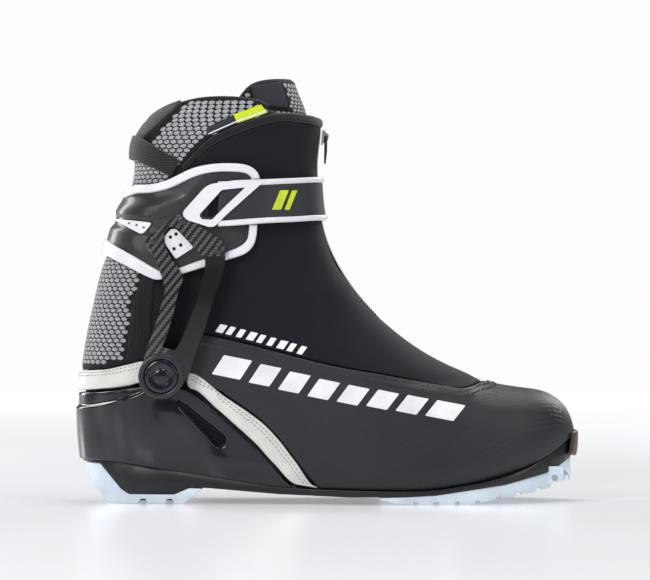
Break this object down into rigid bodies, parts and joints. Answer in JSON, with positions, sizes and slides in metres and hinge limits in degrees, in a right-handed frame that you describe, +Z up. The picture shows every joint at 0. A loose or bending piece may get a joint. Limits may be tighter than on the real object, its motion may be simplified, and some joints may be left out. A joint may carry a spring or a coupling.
{
  "type": "cross country boot",
  "caption": "Cross country skate boot with a stiff grooved sole and binding bar, a zipped gaiter over a padded liner, and a hinged ankle cuff with carbon braces and a strap.",
  "frame": {"origin": "centre of the bounding box in plan, at the level of the treads' lowest face", "axes": "+X towards the toe, +Z up, -Y is the lateral side of this right boot"},
  "size_m": [0.306, 0.1027, 0.2569],
  "materials": {
    "sole_plastic": "satin",
    "tread_rubber": "matte",
    "toe_guard": "satin",
    "steel": "brushed",
    "carrier_metal": "satin",
    "shank_fibre": "matte",
    "board": "matte",
    "insole_fabric": "matte",
    "counter_gloss": "gloss",
    "trim_leather": "satin",
    "vamp_leather": "satin",
    "puff_plastic": "matte",
    "liner_foam": "matte",
    "softshell": "matte",
    "cell_textile": "matte",
    "shell_gloss": "gloss",
    "white_gloss": "gloss",
    "carbon_fibre": "gloss",
    "strap_grey": "matte",
    "lime": "satin",
    "label_dark": "matte",
    "webbing": "matte",
    "pad_fabric": "matte",
    "zip_metal": "satin",
    "hook_loop": "matte",
    "lace_fabric": "matte"
  },
  "bodies": {
    "boot": {"sole_plate": "sole_plastic", "heel_tread": "tread_rubber", "toe_tread": "tread_rubber", "toe_bumper": "toe_guard", "toe_bar": "steel", "bar_carrier": "carrier_metal", "shank": "shank_fibre", "lasting_board": "board", "insole": "insole_fabric", "heel_counter": "counter_gloss", "hinge_bosses": "counter_gloss", "hinge_washers": "steel", "hinge_rivets": "steel", "hinge_caps": "counter_gloss", "trim_rear": "trim_leather", "trim_lateral": "trim_leather", "trim_medial": "trim_leather", "vamp_lateral": "vamp_leather", "vamp_medial": "vamp_leather", "toe_puff": "puff_plastic", "liner_heel": "liner_foam", "liner_toe": "liner_foam", "liner_ankle": "liner_foam", "liner_flex": "liner_foam", "tongue_lower": "cell_textile", "tongue_flex": "cell_textile", "gaiter_lower": "softshell", "gaiter_flex": "softshell", "mesh_lower": "cell_textile", "mesh_flex": "cell_textile", "eyestays": "webbing", "lace": "lace_fabric"},
    "cuff": {"liner_collar": "liner_foam", "mesh_collar": "cell_textile", "tongue_upper": "cell_textile", "gaiter_upper": "softshell", "gaiter_binding": "webbing", "cuff_shell": "shell_gloss", "cuff_rim_top": "white_gloss", "cuff_rim_bottom": "white_gloss", "brace_lateral": "carbon_fibre", "brace_medial": "carbon_fibre", "brace_rivets": "steel", "side_vents": "white_gloss", "rear_vents": "white_gloss", "strap_tail": "strap_grey", "tail_rivets": "steel", "hook_patch": "hook_loop", "pull_loop": "webbing", "collar_pad": "pad_fabric", "collar_label": "lime", "tongue_label": "label_dark", "zip_teeth": "zip_metal"},
    "strap": {"strap_band": "strap_grey", "strap_edges": "white_gloss", "strap_handle": "white_gloss", "strap_mark": "lime"},
    "zip_slider": {"zip_slider": "zip_metal"},
    "zip_puller": {"zip_puller": "webbing"}
  },
  "joints": [
    {"name": "cuff_flex", "type": "hinge", "parent": "boot", "child": "cuff", "pos_m": [-0.1, 0, 0.077], "axis": [0, 1, 0], "range_deg": [-6, 18], "stiffness_Nm_per_rad": 4, "deforming": ["liner_flex", "tongue_flex", "gaiter_flex", "mesh_flex"]},
    {"name": "strap_swing", "type": "hinge", "parent": "cuff", "child": "strap", "pos_m": [-0.052, 0.0465, 0.183], "axis": [0, 0, 1], "range_deg": [0, 85]},
    {"name": "zip_slide", "type": "slide", "parent": "cuff", "child": "zip_slider", "axis": [-0.105, 0, -0.9945], "range_m": [0, 0.0075]},
    {"name": "zip_pull", "type": "hinge", "parent": "zip_slider", "child": "zip_puller", "pos_m": [-0.0015, 0, 0.22201], "axis": [0, -1, 0], "range_deg": [0, 140]}
  ]
}
